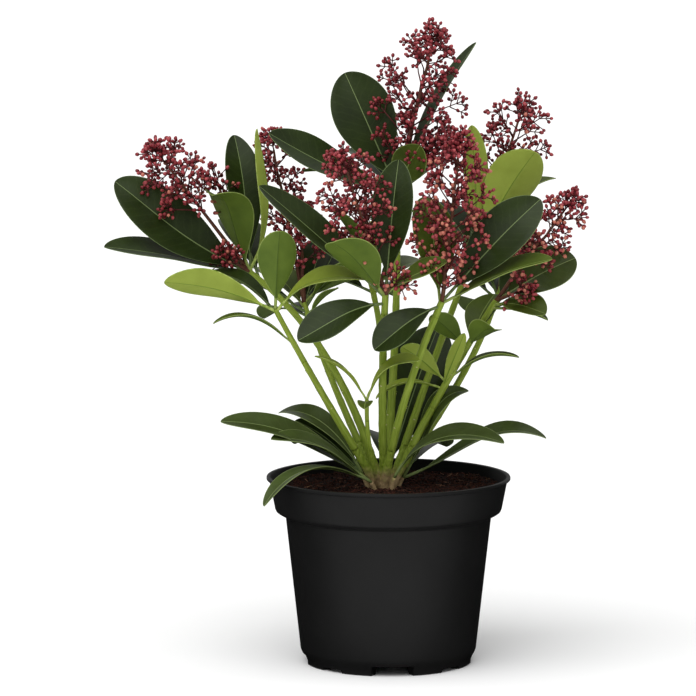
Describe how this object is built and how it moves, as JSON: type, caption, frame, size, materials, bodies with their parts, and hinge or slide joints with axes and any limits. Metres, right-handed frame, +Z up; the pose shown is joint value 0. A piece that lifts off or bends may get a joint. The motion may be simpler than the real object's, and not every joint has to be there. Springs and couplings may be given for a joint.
{
  "type": "potted skimmia",
  "caption": "Evergreen skimmia shrub in flower bud, with leathery leaves in whorls and upright panicles of round buds, growing in a black nursery pot.",
  "frame": {"origin": "the middle of the pot's flat underside", "axes": "+Z up, +X to the right and +Y to the back of the plant as it is usually turned"},
  "size_m": [0.3743, 0.2666, 0.4968],
  "materials": {
    "pot": "injection-moulded black polypropylene, satin",
    "potting_mix": "dark moist peat and bark mix",
    "crown": "pale woody stem base",
    "stems": "smooth green stems",
    "foliage": "leathery glossy leaves and crimson flower buds"
  },
  "bodies": {
    "root": {"pot": "pot", "potting_mix": "potting_mix", "crown": "crown", "stem_left_low": "stems", "stem_left_high": "stems", "stem_centre_front": "stems", "stem_centre_right": "stems", "stem_right": "stems", "stem_top": "stems", "stem_upper_right": "stems", "stem_back_centre": "stems", "stem_back_right": "stems", "stem_back_left": "stems", "stem_young": "stems", "foliage_left_low": "foliage", "foliage_left_high": "foliage", "foliage_centre_front": "foliage", "foliage_centre_right": "foliage", "foliage_right": "foliage", "foliage_top": "foliage", "foliage_upper_right": "foliage", "foliage_back_centre": "foliage", "foliage_back_right": "foliage", "foliage_back_left": "foliage", "foliage_young": "foliage", "tuft_left": "foliage", "tuft_back_left": "foliage", "tuft_right": "foliage", "tuft_back_right": "foliage", "tuft_back": "foliage"}
  },
  "joints": []
}
